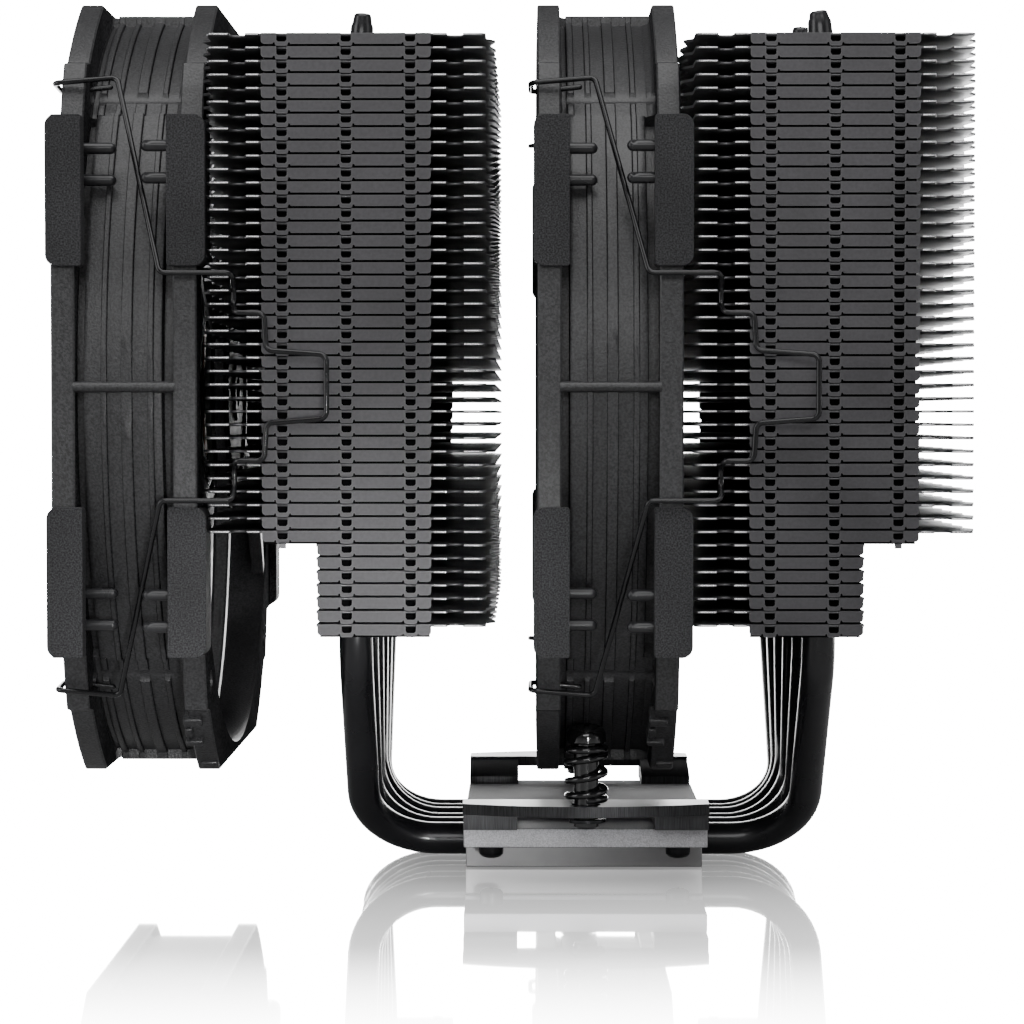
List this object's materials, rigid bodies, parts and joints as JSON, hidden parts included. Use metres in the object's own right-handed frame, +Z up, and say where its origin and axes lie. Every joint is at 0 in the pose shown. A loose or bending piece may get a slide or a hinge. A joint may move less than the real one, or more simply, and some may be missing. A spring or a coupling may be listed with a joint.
{
  "type": "cpu tower cooler",
  "caption": "Air cooler for a computer processor: heat pipes rise from a sprung cold plate into fin towers, with fans held on by wire clips.",
  "frame": {"origin": "centre of the cold plate's contact face", "axes": "+Z up, away from the processor; +X along the air flow, from the front fan to the rear tower; +Y towards the far side"},
  "size_m": [0.161, 0.16, 0.1606],
  "materials": {
    "fins": "satin black coating",
    "pipes": "gloss black coating",
    "nickel": "nickel plated",
    "satin_aluminium": "satin",
    "black_steel": "gloss black",
    "bright_steel": "bright",
    "copper": "enamelled winding",
    "fan_plastic": "fine grain",
    "rubber": "grained",
    "board": "solder mask"
  },
  "bodies": {
    "heatsink": {"cold_plate": "nickel", "far_bracket": "black_steel", "far_bracket_screw_front": "bright_steel", "far_bracket_screw_rear": "bright_steel", "front_tower_fins": "fins", "front_tower_lower_fins": "fins", "heat_pipe_1": "pipes", "heat_pipe_2": "pipes", "heat_pipe_3": "pipes", "heat_pipe_4": "pipes", "heat_pipe_5": "pipes", "heat_pipe_6": "pipes", "near_bracket": "black_steel", "near_bracket_screw_front": "bright_steel", "near_bracket_screw_rear": "bright_steel", "pipe_cover_block": "satin_aluminium", "rear_tower_fins": "fins", "rear_tower_lower_fins": "fins"},
    "front_fan": {"front_bearing": "copper", "front_circuit_board": "board", "front_fan_cable": "rubber", "front_fan_frame": "fan_plastic", "front_intake_pad_far_lower": "rubber", "front_intake_pad_far_upper": "rubber", "front_intake_pad_near_lower": "rubber", "front_intake_pad_near_upper": "rubber", "front_outlet_pad_far_lower": "rubber", "front_outlet_pad_far_upper": "rubber", "front_outlet_pad_near_lower": "rubber", "front_outlet_pad_near_upper": "rubber", "front_stator": "copper"},
    "front_rotor": {"front_impeller": "fan_plastic", "front_rotor_magnet": "black_steel", "front_rotor_shaft": "bright_steel"},
    "front_near_clip": {"front_clip_near": "black_steel"},
    "front_far_clip": {"front_clip_far": "black_steel"},
    "middle_fan": {"middle_bearing": "copper", "middle_circuit_board": "board", "middle_fan_cable": "rubber", "middle_fan_frame": "fan_plastic", "middle_intake_pad_far_lower": "rubber", "middle_intake_pad_far_upper": "rubber", "middle_intake_pad_near_lower": "rubber", "middle_intake_pad_near_upper": "rubber", "middle_outlet_pad_far_lower": "rubber", "middle_outlet_pad_far_upper": "rubber", "middle_outlet_pad_near_lower": "rubber", "middle_outlet_pad_near_upper": "rubber", "middle_stator": "copper"},
    "middle_rotor": {"middle_impeller": "fan_plastic", "middle_rotor_magnet": "black_steel", "middle_rotor_shaft": "bright_steel"},
    "middle_near_clip": {"middle_clip_near": "black_steel"},
    "middle_far_clip": {"middle_clip_far": "black_steel"},
    "near_screw_slider": {"near_retaining_ring": "bright_steel", "near_spring": "black_steel"},
    "near_screw": {"near_spring_screw": "black_steel"},
    "far_screw_slider": {"far_retaining_ring": "bright_steel", "far_spring": "black_steel"},
    "far_screw": {"far_spring_screw": "black_steel"}
  },
  "joints": [
    {"name": "front_fan_slide", "type": "slide", "parent": "heatsink", "child": "front_fan", "axis": [0, 0, 1], "range_m": [0, 0.03]},
    {"name": "front_fan_spin", "type": "hinge", "parent": "front_fan", "child": "front_rotor", "pos_m": [-0.0923, 0, 0.0905], "axis": [1, 0, 0], "continuous": true},
    {"name": "front_near_clip_swing", "type": "hinge", "parent": "front_fan", "child": "front_near_clip", "pos_m": [-0.0903, -0.0525, 0.0905], "axis": [0, 0, -1], "range_deg": [0, 25]},
    {"name": "front_far_clip_swing", "type": "hinge", "parent": "front_fan", "child": "front_far_clip", "pos_m": [-0.0903, 0.0525, 0.0905], "axis": [0, 0, 1], "range_deg": [0, 25]},
    {"name": "middle_fan_slide", "type": "slide", "parent": "heatsink", "child": "middle_fan", "axis": [0, 0, 1], "range_m": [0, 0.03]},
    {"name": "middle_fan_spin", "type": "hinge", "parent": "middle_fan", "child": "middle_rotor", "pos_m": [-0.009, 0, 0.0905], "axis": [1, 0, 0], "continuous": true},
    {"name": "middle_near_clip_swing", "type": "hinge", "parent": "middle_fan", "child": "middle_near_clip", "pos_m": [-0.007, -0.0525, 0.0905], "axis": [0, 0, -1], "range_deg": [0, 25]},
    {"name": "middle_far_clip_swing", "type": "hinge", "parent": "middle_fan", "child": "middle_far_clip", "pos_m": [-0.007, 0.0525, 0.0905], "axis": [0, 0, 1], "range_deg": [0, 25]},
    {"name": "near_screw_press", "type": "slide", "parent": "heatsink", "child": "near_screw_slider", "axis": [0, 0, -1], "range_m": [0, 0.0035], "deforming": ["near_spring"]},
    {"name": "near_screw_turn", "type": "hinge", "parent": "near_screw_slider", "child": "near_screw", "pos_m": [0, -0.0415, 0.02], "axis": [0, 0, 1], "continuous": true},
    {"name": "far_screw_press", "type": "slide", "parent": "heatsink", "child": "far_screw_slider", "axis": [0, 0, -1], "range_m": [0, 0.0035], "deforming": ["far_spring"]},
    {"name": "far_screw_turn", "type": "hinge", "parent": "far_screw_slider", "child": "far_screw", "pos_m": [0, 0.0415, 0.02], "axis": [0, 0, 1], "continuous": true}
  ]
}
